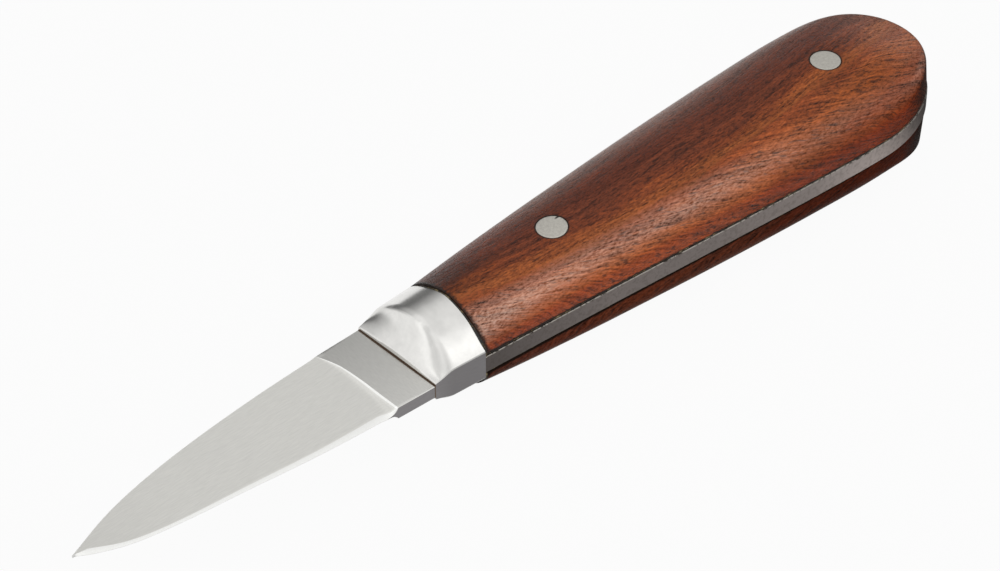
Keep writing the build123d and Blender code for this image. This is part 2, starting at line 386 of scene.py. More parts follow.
def plungeRow(step):
    # from the crease on the ricasso down the hollow to the flat of the grind
    share = (step / blade["plungeRows"]) ** blade["plungeSpread"]
    edge = knife["choilHalf"]
    bevel = (groundHeight(plungeX, edge) - blade["edgeLand"]) / (blade["bevelSlope"] + groundAcross)
    bevel = blend(blade["spineRound"], bevel, share)
    sharp, wide = blade["hollow"]
    row = []
    for i, y in enumerate(acrossPlaces(-edge, edge, blade["spineRound"], bevel)):
        x = blend(plungeCrease(y), plungeX, share)
        depth = max(blade["ricassoHalf"] - groundHeight(plungeCrease(y), y), 0)
        bend = blend(sharp, wide, ease(blade["hollowWidens"], edge, y))
        z = groundHeight(x, y) + depth * (1 - share) ** bend
        if i == 0:
            z -= blade["roundDrop"][0] * blade["spineRound"]
        if i == lastColumn:
            z = (z - blade["sideDrop"]) * (1 - share) + blade["edgeLand"] * share
        row.append((x, y, z))
    return row


def bolsterHalfWidth(x):
    share = (knife["lipX"] - x) / (knife["lipX"] - knife["junctionX"])
    return blend(knife["lipHalf"], knife["junctionHalf"], share)


def archPlaces(halfWidth):
    # places across an arch, closer together towards its steep sides
    edge = halfWidth - bolster["sideInset"]
    inside = [-edge * math.cos(math.pi * i / innerSteps) for i in range(innerSteps + 1)]
    return [-halfWidth, *inside, halfWidth]


def ridgeShare(x, y):
    # height share of the arch: 1 on the barrel, falling hollow to 0 at the lip
    t = (x - knife["ridgeX"]) / (knife["lipX"] - knife["ridgeX"])
    hollow = bolster["rampHollow"]
    ramp = 1 - (1 + hollow) * t + hollow * t * t
    sharp, wide = bolster["ridgeSoftness"]
    soft = blend(sharp, wide, ease(0, bolster["ridgeSoftens"], y))
    gap = ramp - 1
    if abs(gap) < soft:
        return 1 - (soft - gap) ** 2 / (4 * soft)
    return min(1, ramp)


def bolsterHeight(x, y, share):
    side = blend(bolster["lipSide"], bolster["side"], share)
    crown = blend(bolster["lipCrown"], bolster["crown"], share)
    reach = min(abs(y) / (bolsterHalfWidth(x) + bolster["sideTrim"]), 1)
    arch = (1 - reach ** bolster["fullness"]) ** (1 / bolster["fullness"])
    if y > 0:
        straight = 1 - reach ** bolster["bellyFullness"]
        arch += (straight - arch) * ease(0, bolster["bellyFrom"], reach)
    return side + (crown - side) * arch


def lipPlace(y):
    return knife["lipX"] - bolster["lipSkew"] * y / knife["lipHalf"]


def bolsterRow(x, followLip, drop=0):
    half = bolsterHalfWidth(x)
    inside = half - bolster["sideGap"]
    row = []
    for i, y in enumerate(archPlaces(half)):
        place = x + (lipPlace(y) - knife["lipX"]) * followLip
        z = bolsterHeight(x, max(min(y, inside), -inside), ridgeShare(x, y)) - drop
        if i in (0, lastColumn):
            z -= bolster["sideDrop"]
        row.append((place, y, z))
    return row


def ricassoRow(x, lipBlend):
    # follows the plunge's crease at its front end and the lip at its rear end
    half = ricassoHalfWidth(x)
    even = acrossPlaces(-half, half, blade["spineRound"], blade["spineRound"])
    row = []
    for i, (y0, y1) in enumerate(zip(even, archPlaces(half))):
        y = blend(y0, y1, lipBlend)
        z = blade["ricassoHalf"] - (blade["sideDrop"] if i in (0, lastColumn) else 0)
        faded = ease(knife["lipX"] + blade["creaseFade"], knife["choilX"], x)
        front = (plungeCrease(y) - knife["choilX"]) * faded
        row.append((x + front + (lipPlace(y) - knife["lipX"]) * lipBlend, y, z))
    return row


# half outline of the handle behind the bolster
handle = {
    "shares": ((0.15, 0.147), (0.35, 0.358), (0.6, 0.653), (0.82, 0.895)),
    "slopeStep": 0.05,
    "squareRun": 6,  # how far from the bolster the rim has turned with the outline
    "tangRows": (60, 24),  # along the sides and round the butt
    "tangChamfer": 0.12,
}
handleRun = knife["junctionX"] - knife["widestX"]
handleGrowth = knife["handleHalf"] - knife["junctionHalf"]
flare = (knife["junctionHalf"] - knife["lipHalf"]) / (knife["lipX"] - knife["junctionX"])
handleSide = curveThrough(
    [(0, knife["junctionHalf"])]
    + [(handleRun * run, knife["junctionHalf"] + handleGrowth * rise) for run, rise in handle["shares"]]
    + [(handleRun, knife["handleHalf"])],
    startSlope=flare, endSlope=0,
)


def handleOutline(inset, straightRows, buttRows, setback=0):
    # points of the belly side from the bolster to the butt, each with its inward direction
    outline = []
    for i in range(straightRows):
        run = setback + (handleRun - setback) * i / straightRows
        near, far = max(run - handle["slopeStep"], 0), run + handle["slopeStep"]
        slope = (handleSide(far) - handleSide(near)) / (far - near)
        inward = Vector((-slope * ease(0, handle["squareRun"], run - setback), -1)).normalized()
        outline.append((Vector((knife["junctionX"] - run, handleSide(run) - inset)), inward))
    long, short = knife["widestX"] - knife["buttX"] - inset, knife["handleHalf"] - inset
    for i in range(buttRows + 1):
        angle = math.pi / 2 * i / buttRows
        inward = Vector((math.sin(angle) * short, -math.cos(angle) * long)).normalized()
        outline.append((Vector((knife["widestX"] - long * math.sin(angle), short * math.cos(angle))), inward))
    return outline


def tangRow(point, inward):
    top = knife["tangHalf"]
    rim = top - handle["tangChamfer"]
    inner = point + inward * handle["tangChamfer"]
    places = [-inner.y + 2 * inner.y * i / innerSteps for i in range(innerSteps + 1)]
    return [(point.x, -point.y, rim), *[(inner.x, y, top) for y in places], (point.x, point.y, rim)]


def makeForgedBlade():
    rows, areas = [], []
    tip, lip, ridge, junction = [knife[name] for name in ("tipX", "lipX", "ridgeX", "junctionX")]

    def add(row, area):
        rows.append(row)
        areas.append(area)

    for i in range(blade["bladeRows"], 0, -1):
        share = 1 - (1 - i / blade["bladeRows"]) ** blade["bladeSpread"]
        add(bladeRow(blend(plungeX, tip, share)), "satinGroundSteel")
    for step in range(blade["plungeRows"], -1, -1):
        add(plungeRow(step), "satinGroundSteel" if step > blade["brightRows"] else "honedSteel")
    areas[-1] = "satinForgedSteel"
    shares = [i / blade["ricassoRows"] for i in range(1, blade["ricassoRows"])] + [blade["darkCornerFrom"], 1]
    for share in shares:
        x = blend(knife["choilX"], lip, share)
        add(ricassoRow(x, ease(blade["lipFrom"], 1, share)), "satinForgedSteel")
    # darker, browner steel in the corner under the lip, and up the foot of the lip's small wall
    areas[-2] = areas[-1] = "darkCornerSteel"
    foot, crest = rows[-1], bolsterRow(lip, 1, drop=bolster["lipRound"])
    rise = bolster["darkCornerRise"]
    add([(x, y, z + (top - z) * rise) for (x, y, z), (_, _, top) in zip(foot, crest)], "buffedForgedSteel")
    add(crest, "buffedForgedSteel")
    start = lip - bolster["lipRound"]
    for i in range(bolster["rampRows"] + 1):
        x = start - (start - ridge) * i / bolster["rampRows"]
        add(bolsterRow(x, (x - ridge) / (lip - ridge)), "buffedForgedSteel")
    for i in range(1, bolster["barrelRows"] + 1):
        add(bolsterRow(ridge + (junction - ridge) * i / bolster["barrelRows"], 0), "buffedForgedSteel")
    areas[-1] = "beltGroundSteel"
    for point, inward in handleOutline(0, *handle["tangRows"]):
        add(tangRow(point, inward), "beltGroundSteel")

    names = list(steelLooks)
    alongEdge = {"satinGroundSteel": "honedSteel", "beltGroundSteel": "brokenEdgeSteel"}
    forged = ("satinForgedSteel", "buffedForgedSteel")

    def pickMaterial(row, i):
        area = areas[row]
        inPlunge = row > blade["bladeRows"] and area in ("satinGroundSteel", "honedSteel")
        if i in (lastColumn - 1, lastColumn + 1):
            area = alongEdge.get(area, area)
        elif i in (lastColumn, 2 * lastColumn + 1) and (inPlunge or area in forged):
            area = "profiledSteelPaintedShade"
        return names.index(area)

    loops = [row + [(x, y, -z) for x, y, z in reversed(row)] for row in rows]
    materials = [steel(name) for name in names]
    mesh = bmesh.new()
    # the butt closes by itself, because the last loop is as thin as a line
    skin(mesh, loops, pickMaterial, capEnd=False)
    makePiece("bladeAndTang", mesh, materials, "forged_blade", sharpAngle=28)


# the two wooden scales
scales = {
    "inset": 0.15,
    "domeBase": 1.6,
    "domeTrim": 0.1,
    "crowns": ((0, 8.15), (12.25, 8.735), (28.58, 9.52), (48.99, 10.26), (66.95, 10.366), (81.65, 10.4),
               (91.1, 9.568), (100.55, 7.2)),
    "fullnesses": ((0, 1.75), (12.25, 2.15), (28.58, 2.4), (81.65, 2.5), (100.55, 2.5)),
    "rows": (110, 36),  # along the sides and round the butt
    "acrossSteps": 44,
    "wallHeights": (0, 0.12, 0.5),
    "wallTuck": 0.06,  # how far the lowest edge is broken
    "wallLeast": 0.7,
    "rimSteps": 7,
    "sideRim": 0.4,
    "buttRim": 1.35,
    "farButtRim": 0.6,
    "farButtRise": 1.9,  # the far scale is fuller at the butt than the near one
    "farButtRun": (84, 101),
    "buttLean": 0.35,
    "leanHeight": 6,
    "buttBlend": (6, 10),  # before and behind the widest place, sides turn into butt
    "flat": {"x": -13.63, "z": 9.5225, "slope": -0.03638, "depth": 0.35},
}
crownCurve = curveThrough(scales["crowns"])
fullnessCurve = curveThrough(scales["fullnesses"])

# two rivets, each of a solid and a hollow half
rivets = {
    "headRadius": 2.5,
    "edgeRound": 0.09,
    "headDrop": 0.01,  # the sanded head lies a touch below the wood, up to its rim ring
    "headRings": (0.8, 1.6),
    "rimRing": 2.2,
    "seat": 6.4,
    "shanks": {"stud": (1.15, 4.6), "sleeve": (1.8, 3.5)},  # radius, and reach past the middle plane
    "boreRadius": 1.17,
    "boreFloor": 0.4,
    "holeRadius": 1.9,
    "holeStart": 0.5,
    "counterboreRadius": 2.58,
    "holeEnd": 12,
    "axisRadius": 0.0001,
    "steps": 96,
    "holeSteps": 72,
    "nick": (-8.75, -1, 0),
}


def domeHeight(x, y, resting=False):
    run = min(max(knife["junctionX"] - x, 0), knife["junctionX"] - knife["buttX"])
    half = (handleSide(run) if run < handleRun else knife["handleHalf"]) + scales["domeTrim"]
    fullness = fullnessCurve(run)
    reach = min(abs(y) / half, 1)
    rise = scales["farButtRise"] * ease(*scales["farButtRun"], run) if resting else 0
    height = crownCurve(run) + rise - scales["domeBase"]
    z = scales["domeBase"] + height * (1 - reach ** fullness) ** (1 / fullness)
    if resting:
        flat = scales["flat"]
        z = min(z, flat["z"] + (x - flat["x"]) * flat["slope"] - flat["depth"])
    return z


def scaleLoop(point, inward, resting):
    # once round the scale: up the belly wall and rim, over the dome, down the spine wall, under the base
    base = knife["tangHalf"] + knife["glueThickness"]
    before, behind = scales["buttBlend"]
    atButt = ease(handleRun - before, handleRun + behind, knife["junctionX"] - point.x)
    buttRim = scales["farButtRim" if resting else "buttRim"]
    rim = blend(scales["sideRim"], buttRim, atButt)
    lean = scales["buttLean"] * atButt
    half = []
    for height in scales["wallHeights"]:
        tuck = scales["wallTuck"] if height == 0 else 0
        half.append((point + inward * (tuck + lean * height / scales["leanHeight"]), base + height))
    for i in range(scales["rimSteps"] + 1):
        angle = math.pi / 2 * i / scales["rimSteps"]
        place = point + inward * (lean + rim * (1 - math.cos(angle)))
        z = domeHeight(place.x, place.y, resting) - rim * (1 - math.sin(angle))
        half.append((place, max(z, base + scales["wallLeast"])))
    inner = half[-1][0]
    loop = [(p.x, p.y, z) for p, z in half]
    for i in range(1, scales["acrossSteps"]):
        y = inner.y * math.cos(math.pi * i / scales["acrossSteps"])
        loop.append((inner.x, y, domeHeight(inner.x, y, resting)))
    loop += [(p.x, -p.y, z) for p, z in reversed(half)]
    loop += [(point.x, point.y * share, base) for share in (-0.5, 0, 0.5)]
    return [(x, y, -z if resting else z) for x, y, z in loop]


def makeScale(side, material):
    resting = side == "right"
    outline = handleOutline(scales["inset"], *scales["rows"], knife["seamThickness"])
    mesh = bmesh.new()
    skin(mesh, [scaleLoop(point, inward, resting) for point, inward in outline], capEnd=False)
    node = side + "_handle_scale"
    piece = makePiece(side + "Scale", mesh, [material], node, sharpAngle=40)
    drillScale(piece, -1 if resting else 1)


def lathe(mesh, x, profile, steps, side=1):
    # turns (radius, z) points round the axis of a rivet, the first and last of them on the axis
    loops = []
    for radius, z in profile:
        loop = []
        for i in range(steps):
            angle = 2 * math.pi * i / steps
            px, py = x + radius * math.cos(angle), radius * math.sin(angle)
            loop.append((px, py, side * (z(px, py) if callable(z) else z)))
        loops.append(loop)
    skin(mesh, loops)


def drillScale(piece, side):
    # holes for the rivets, with a counterbore for each head
    narrow, wide, seat = rivets["holeRadius"], rivets["counterboreRadius"], rivets["seat"]
    profile = [(narrow, rivets["holeStart"]), (narrow, seat), (wide, seat), (wide, rivets["holeEnd"])]
    for name, x in knife["rivetX"].items():
        mesh = bmesh.new()
        lathe(mesh, x, profile, rivets["holeSteps"], side)
        drill = meshObject("drill", mesh)
        cut = piece.modifiers.new(name, "BOOLEAN")
        cut.operation = "DIFFERENCE"
        cut.solver = "EXACT"
        cut.object = drill
        bpy.context.view_layer.update()
        drilled = bpy.data.meshes.new_from_object(piece.evaluated_get(bpy.context.evaluated_depsgraph_get()))
        piece.modifiers.clear()
        piece.data = drilled
        bpy.data.objects.remove(drill)


def rivetProfile(half):
    # from the middle of the head over its rim, under it, down the shank, and up a sleeve's bore
    def head(drop):
        return lambda x, y: domeHeight(x, y, half == "sleeve") - drop

    axis, radius, edge, seat = [rivets[name] for name in ("axisRadius", "headRadius", "edgeRound", "seat")]
    shank, reach = rivets["shanks"][half]
    profile = [(ring, head(rivets["headDrop"])) for ring in (axis, *rivets["headRings"])]
    profile += [(ring, head(0)) for ring in (rivets["rimRing"], radius - edge)]
    profile += [(radius - 0.3 * edge, head(0.3 * edge)), (radius, head(edge))]
    profile += [(radius, seat), (shank, seat), (shank, -reach)]
    if half == "sleeve":
        bore, floor = rivets["boreRadius"], seat - rivets["boreFloor"]
        return profile + [(bore, -reach), (bore, floor), (axis, floor)]
    return profile + [(axis, -reach)]


def makeRivets(material):
    for place, x in knife["rivetX"].items():
        for half, side in (("stud", 1), ("sleeve", -1)):
            mesh = bmesh.new()
            lathe(mesh, x, rivetProfile(half), rivets["steps"], side)
            name, node = place + half.capitalize(), f"{place}_rivet_{half}"
            makePiece(name, mesh, [material], node, sharpAngle=35)


# adhesive under the scales, its sizes measured inwards from the edge of the wood
glue = {
    "rows": (420, 90),
    "depth": 1.2,
    "recess": 0.12,
    "bulge": 0.05,
    "waver": 0.1,
    "topWaver": 0.04,
    "lumps": ((1.3, 1), (0.45, 0.6)),  # length in mm and strength
    "archSteps": 90,
    # the seam's section, from the bolster to the wood: place, inset and waver
    "seam": ((0, 1.5, 0), (0, 0.16, 0.06), (0.15, 0.13, 0.1), (0.3, 0.02, 0.1), (0.3, 1.5, 0)),
    "seamLumps": (9, 6, 0.9),
}


def makeGlue(side, material):
    # a bead between wood and tang, and a seam against the bolster, both uneven
    sign = 1 if side == "left" else -1
    low, high = knife["tangHalf"], knife["tangHalf"] + knife["glueThickness"]
    mesh = bmesh.new()
    outline = handleOutline(scales["inset"], *glue["rows"], knife["seamThickness"])
    around = outline + [(Vector((p.x, -p.y)), Vector((n.x, -n.y))) for p, n in reversed(outline[:-1])]
    loops = []
    for point, inward in around:
        wave = sum(
            strength * ripple(point.x, point.y, 7 * sign + 3 * i, size)
            for i, (size, strength) in enumerate(glue["lumps"])
        )
        outer = glue["recess"] - glue["waver"] * wave
        section = [(glue["depth"], low), (outer, low), (outer - glue["bulge"], (low + high) / 2)]
        section += [(outer + glue["topWaver"] * wave, high), (glue["depth"], high)]
        loops.append([(*(point + inward * depth), sign * z) for depth, z in section])
    skin(mesh, loops)
    # seam: an arch against the bolster's rear face
    loops = []
    half, base, crown = knife["junctionHalf"], bolster["side"], bolster["crown"]
    wide, tall, size = glue["seamLumps"]
    for i in range(glue["archSteps"] + 1):
        angle = math.pi * i / glue["archSteps"]
        across = math.copysign(abs(math.cos(angle)) ** (2 / bolster["fullness"]), math.cos(angle))
        rise = abs(math.sin(angle)) ** (2 / bolster["fullness"])
        wave = ripple(across * wide, rise * tall, 11 * sign, size)
        loop = []
        for x, inset, waver in glue["seam"]:
            inset -= waver * wave
            z = sign * (base + rise * (crown - base - inset))
            loop.append((knife["junctionX"] - x, across * (half - inset), z))
        loops.append(loop)
    foot, end = [[[(x, y, sign * low) for x, y, z in loop]] for loop in (loops[0], loops[-1])]
    skin(mesh, foot + loops + end)
    makePiece(side + "Glue", mesh, [material], side + "_glue_film", sharpAngle=60)


# wood, adhesive and rivet materials
wood = {
    # colours across the board in mm from the middle of the orange band
    "zones": ((-15, "#6a4436"), (-10.5, "#62301e"), (-7, "#5e2b19"), (-4.5, "#67321d"), (-2.4, "#75371b"),
              (-0.9, "#86441f"), (0.2, "#945026"), (1.2, "#83411f"), (2.6, "#86411f"), (4.2, "#914b24"),
              (6, "#934a1d"), (9, "#80380f")),
    "bandY": 5.6,  # where the orange band lies, and how it bows
    "bandX": -28,
    "bandBow": 0.0024,
    "layerTilt": 0.3,  # growth layers: shift across per mm of height
    "belly": (-0.5, 2.5),  # where grain turns into slant, from the band
    "bellySlant": (0.28, 0.75, -0.65),  # shift of the belly's hairlines per mm along each axis
    "fanX": -15,  # in front of this place they fan out towards the bolster
    "fan": 0.005,
    # textures: sizes in mm along the three axes, then detail and roughness of the noise;
    # streaks, hairlines and pores (really 0.15 mm wide) are drawn a little coarser than real fibres
    "wander": ((35, 7, 7), 3, 0.5),
    "curl": ((6, 4, 4), 2, 0.5),
    "streaks": ((14, 1.1, 12), 3, 0.6),
    "stripes": ((9, 0.8, 20), 2, 0.5),
    "hairlines": ((7, 0.32, 20), 2, 0.6),
    "mottle": ((0.8, 0.3, 0.3), 3, 0.75),
    "pores": ((1.5, 0.24, 20), 0, 0.5),
    "soak": ((1.1, 0.8, 0.8), 4, 0.7),
    "spread": {"From Min": 0.25, "From Max": 0.75, "To Min": -1},
    "curlShare": 0.15,
    "push": (1.6, 1.5, 0.6, 0.8),  # how far wander, streaks, stripes and mottle shift the zones
    "hairlineDepth": (0.34, 0.6),  # on the spine side and on the belly side
    "depths": (0.3, 0.14, 0.68),  # light and dark of streaks, stripes and mottle
    "poreDepth": ((0.55, 0), (0.95, 0.6)),
    "poreColour": "#260f09",
    "resin": "#17100b",
    # lighter and darker areas: the belly side along the handle, partly painted light, a nearly black patch at
    # the front of the spine side, painted shade on the belly edge by how steep it is, and the end grain,
    # partly painted shade
    "bellyLight": ((-60, 1), (-42, 1.12), (-25, 1.25), (-10, 1.35), (14, 1.3)),
    "patchAlong": ((2, 0), (12, 0.55)),
    "patchAcross": ((-9, 0.5), (-5, 1), (-2, 1), (1.5, 0)),
    "bellyEdgePaintedShade": ((0.86, "#ffffff"), (0.97, "#f3cfaa")),
    "endGrainAndShade": ((-0.42, 0.2), (-0.15, 1)),
    # painted sheen: how much paler the shoulders are painted, as highlights, for how steep a surface and at
    # places along the handle
    "paintedSheenColour": "#e8d2c4",
    "sheenTilt": ((0.3, 0), (0.46, 0.6), (0.56, 1), (0.68, 0.95), (0.8, 0.35), (0.9, 0.1)),
    "sheenAlong": ((-76, 0.05), (-50, 0.08), (-30, 0.19), (-12, 0.17), (2, 0.23), (14, 0.31)),
    "spineSheenTilt": ((-0.9, 0.18), (-0.7, 0.13), (-0.5, 0.06), (-0.2, 0)),
    "spineSheenAlong": ((-10, 1), (2, 0.2)),
    "buttSheenTilt": ((-0.6, 0.1), (-0.3, 0.08), (-0.15, 0.035), (-0.05, 0)),
    "buttSheenUpright": ((0.3, 0), (0.5, 0.6), (0.75, 0.9), (1, 1)),
    "sheenUneven": (0.5, 1.3),  # by hairlines and by mottle
    # adhesive soaked into the fibres: along the tang, against the bolster, and round each rivet head
    "soakTang": ((2.12, 0.95), (2.4, 0)),
    "soakTangUneven": (0.16, -0.006),
    "soakFront": ((14, 0), (14.5, 0.9)),
    "soakFrontUneven": 0.45,
    "soakCorner": ((1.8, 0.5), (4, 0)),
    "ring": ((2.62, 0.85), (2.85, 0)),
    "roughness": (0.18, 0.42),
    "bumpPores": -1.2,
    "bump": {"Strength": 0.5, "Distance": 0.0001},
    "varnish": {"IOR": 1.5, "Coat IOR": 1.5, "Coat Roughness": 0.2},
    "gloss": {"Specular IOR Level": 0.12, "Coat Weight": 0.16},
}


def varnishedWood(name, side=1, paintedShade=1, gloss=1):
    # rosewood, sanded and thinly varnished: bands, hairlines, short open pores and a broken gloss
    material, nodes, shader, place = startMaterial(name)
    inMm = addNode(nodes, "Mapping", {"Vector": place, "Scale": (1000, 1000, 1000 * side)})
    x, y, z = addNode(nodes, "SeparateXYZ", {"Vector": inMm}).outputs
    normal = addNode(nodes, "NewGeometry").outputs["Normal"]
    facingX, facingY, facingZ = addNode(nodes, "SeparateXYZ", {"Vector": normal}).outputs

    def sums(total, *terms):
        # adds up socket * factor terms
        for socket, factor in terms:
            total = addNode(nodes, "Math", [socket, factor, total], operation="MULTIPLY_ADD")
        return total

    def spread(texture, vector=inMm):
        # noise with features of the given size along each axis, spread to about -1 to 1
        sizes, detail, roughness = wood[texture]
        stretched = addNode(nodes, "Mapping", {"Vector": vector, "Scale": [1 / size for size in sizes]})
        fibres = {"Vector": stretched, "Scale": 1, "Detail": detail, "Roughness": roughness}
        value = addNode(nodes, "TexNoise", fibres)
        return addNode(nodes, "MapRange", {"Value": value, **wood["spread"]}, clamp=False)

    # place across the board, measured from the bowed orange band, with a slow wander and a short curl
    wander, curl = spread("wander"), spread("curl")
    fromBow = addNode(nodes, "Math", [x, wood["bandX"]], operation="SUBTRACT")
    bow = addNode(nodes, "Math", [fromBow, fromBow], operation="MULTIPLY")
    bowed = sums(y, (bow, wood["bandBow"]))
    grain = sums(bowed, (z, wood["layerTilt"]), (wander, 1), (curl, wood["curlShare"]))
    # where the scale is cut across the layers, on the belly side, the hairlines slant
    inFront = addNode(nodes, "Math", [x, wood["fanX"]], operation="SUBTRACT")
    inFront = addNode(nodes, "Math", [inFront, 0], operation="MAXIMUM")
    fan = addNode(nodes, "Math", [inFront, inFront], operation="MULTIPLY")
    slanted = sums(wander, *zip((x, y, z), wood["bellySlant"]), (fan, wood["fan"]),
                   (curl, wood["curlShare"]))
    start, end = wood["belly"]
    fromBand = [(wood["bandY"] + start, 0), (wood["bandY"] + end, 1)]
    onBelly = along(nodes, sums(bowed, (wander, 1)), fromBand)
    alongGrain, alongSlant = [
        addNode(nodes, "CombineXYZ", {"X": x, "Y": across, "Z": z}) for across in (grain, slanted)
    ]

    def both(texture):
        # the same fibres along the grain and along the slant, blended over the band
        straight, slant = spread(texture, alongGrain), spread(texture, alongSlant)
        return addNode(nodes, "Mix", {0: onBelly, "A": straight, "B": slant})

    streaks = spread("streaks", alongGrain)
    stripes, hairlines, mottle = both("stripes"), both("hairlines"), spread("mottle")
    across = sums(bowed, *zip((wander, streaks, stripes, mottle), wood["push"]))
    colour = along(nodes, across, [(mm + wood["bandY"], tone) for mm, tone in wood["zones"]])
    # light and dark of the fibres
    depth = along(nodes, onBelly, tuple(zip((0, 1), wood["hairlineDepth"])))
    shade = addNode(nodes, "Math", [hairlines, depth, 1], operation="MULTIPLY_ADD")
    shade = sums(shade, *zip((streaks, stripes, mottle), wood["depths"]))
    # the front patch, and the painted sheen on the belly shoulder, the spine shoulder and the butt's rim
    patch, belly, spine, butt = [
        addNode(nodes, "Math", [along(nodes, a, wood[first]), along(nodes, b, wood[second])],
                operation="MULTIPLY")
        for a, first, b, second in (
            (x, "patchAlong", y, "patchAcross"),
            (facingY, "sheenTilt", x, "sheenAlong"),
            (facingY, "spineSheenTilt", x, "spineSheenAlong"),
            (facingX, "buttSheenTilt", facingZ, "buttSheenUpright"),
        )
    ]
    # lighter belly side, partly painted light, dark patch, and end grain, which drinks the varnish and also
    # carries painted shade on the butt's end wall
    lighter = addNode(nodes, "Mix", {0: onBelly, "B": along(nodes, x, wood["bellyLight"]), "A": 1})
    unpatched = addNode(nodes, "Math", [1, patch], operation="SUBTRACT")
    upright = addNode(nodes, "Math", [1, facingZ], operation="SUBTRACT")
    endOn = addNode(nodes, "Math", [facingX, upright], operation="MULTIPLY")
    # paintedShade darkens the whole scale, end grain and all; the far scale uses it
    endGrainAndShade = along(nodes, endOn, [(tilt, value * paintedShade) for tilt, value in wood["endGrainAndShade"]])
    for area in (lighter, unpatched, endGrainAndShade):
        shade = addNode(nodes, "Math", [shade, area], operation="MULTIPLY")
    # painted shade: the steep belly edge is painted deeper in colour, the more it faces the belly side
    for tint in (shade, along(nodes, facingY, wood["bellyEdgePaintedShade"])):
        colour = addNode(nodes, "VectorMath", [colour, tint], operation="MULTIPLY")
    pores = along(nodes, both("pores"), wood["poreDepth"])
    # painted sheen: the shoulders are painted paler, as highlights, in streaks
    byHairlines, byMottle = wood["sheenUneven"]
    uneven = addNode(nodes, "Math", [hairlines, byHairlines, 1], operation="MULTIPLY_ADD")
    sheenMasks = [sums(belly, (spine, 1), (butt, 1)), sums(uneven, (mottle, byMottle))]
    paintedSheen = addNode(nodes, "Math", sheenMasks, operation="MULTIPLY", use_clamp=True)
    # the adhesive
    soak = spread("soak")
    aboveTang = sums(z, *zip((soak, x), wood["soakTangUneven"]))
    toBolster = sums(x, (soak, wood["soakFrontUneven"]), (along(nodes, z, wood["soakCorner"]), 1))
    soaked = along(nodes, aboveTang, wood["soakTang"])
    areas = [along(nodes, toBolster, wood["soakFront"])]
    for rivetX in knife["rivetX"].values():
        fromAxis = addNode(nodes, "VectorMath", [inMm, (1, 1, 0), (-rivetX, 0, 0)], operation="MULTIPLY_ADD")
        fromAxis = addNode(nodes, "VectorMath", [fromAxis], operation="LENGTH")
        areas.append(along(nodes, fromAxis, wood["ring"]))
    for area in areas:
        soaked = addNode(nodes, "Math", [soaked, area], operation="MAXIMUM")
    for cover, added in ((pores, wood["poreColour"]), (paintedSheen, wood["paintedSheenColour"]), (soaked, wood["resin"])):
        colour = addNode(nodes, "Mix", {0: cover, "A": colour, "B": linear(added)}, data_type="RGBA")
    rough = along(nodes, mottle, tuple(zip((-1, 1), wood["roughness"])))
    height = sums(hairlines, (mottle, 1), (pores, wood["bumpPores"]))
    bump = addNode(nodes, "Bump", {"Height": height, **wood["bump"]})
    feed(shader, {"Base Color": colour, "Roughness": rough, "Normal": bump, "Coat Normal": bump})
    feed(shader, wood["varnish"])
    feed(shader, {socket: value * gloss for socket, value in wood["gloss"].items()})
    return material


# the specks' scale is how many there are per metre
epoxy = {
    "specks": {"Scale": 900, "Detail": 4, "Roughness": 0.7},
    "colours": ((0, "#0c0a08"), (0.47, "#16120c"), (0.55, "#4d4024"), (0.62, "#857550"), (0.72, "#c0b797")),
    "bump": {"Strength": 0.5, "Distance": 0.0001},
    "roughness": 0.45,
}
rivetMetal = {
    "specks": {"Scale": 2600, "Detail": 4, "Roughness": 0.7},
    "colours": ((0.3, "#b9b5ad"), (0.7, "#d3d0c7")),
    "bump": {"Strength": 0.2, "Distance": 0.00004},
    "nickPerMm": (1.8, 5, 0),  # the nick is longer along the knife than across
    "nickEdge": ((0.6, 0.9), (1.2, 0)),
    "nickColour": "#1a1512",
    "surface": {"Roughness": 0.5, "Metallic": 0.75},
}


def speckled(nodes, place, look):
    # one noise as specks of colour and as relief
    specks = addNode(nodes, "TexNoise", {"Vector": place, **look["specks"]})
    shade = addNode(nodes, "ValToRGB", {"Fac": specks})
    fillRamp(shade, look["colours"])
    return shade, addNode(nodes, "Bump", {"Height": specks, **look["bump"]})


def curedEpoxy():
    # dark two-part adhesive, squeezed out and sanded: near black, with olive and pale specks
    material, nodes, shader, place = startMaterial("curedEpoxy")
    shade, bump = speckled(nodes, place, epoxy)
    feed(shader, {"Base Color": shade, "Normal": bump, "Roughness": epoxy["roughness"]})
    return material


def sandedAluminium():
    # solid aluminium rivets sanded flush: pale, matt, with fine random scratches
    material, nodes, shader, place = startMaterial("sandedAluminium")
    shade, bump = speckled(nodes, place, rivetMetal)
    # a black nick in the rim of the front one
    perMm = rivetMetal["nickPerMm"]
    offset = [-mm * factor for mm, factor in zip(rivets["nick"], perMm)]
    fromNick = addNode(nodes, "VectorMath", [place, [1000 * factor for factor in perMm], offset],
                       operation="MULTIPLY_ADD")
    fromNick = addNode(nodes, "VectorMath", [fromNick], operation="LENGTH")
    cover = along(nodes, fromNick, rivetMetal["nickEdge"])
    nicked = {0: cover, "A": shade, "B": linear(rivetMetal["nickColour"])}
    colour = addNode(nodes, "Mix", nicked, data_type="RGBA")
    feed(shader, {"Base Color": colour, "Normal": bump, **rivetMetal["surface"]})
    return material


# the far scale is darker and duller, as the photo shows its belly side: the same wood, darkened all over as
# painted shade
farScale = {"side": -1, "paintedShade": 0.32, "gloss": 0.05}

makeForgedBlade()
print("blade, bolster and tang made")
makeScale("left", varnishedWood("varnishedRosewood"))
makeScale("right", varnishedWood("varnishedRosewoodPaintedShade", **farScale))
print("scales made")
adhesive = curedEpoxy()
makeGlue("left", adhesive)
makeGlue("right", adhesive)
makeRivets(sandedAluminium())
print("adhesive and rivets made")


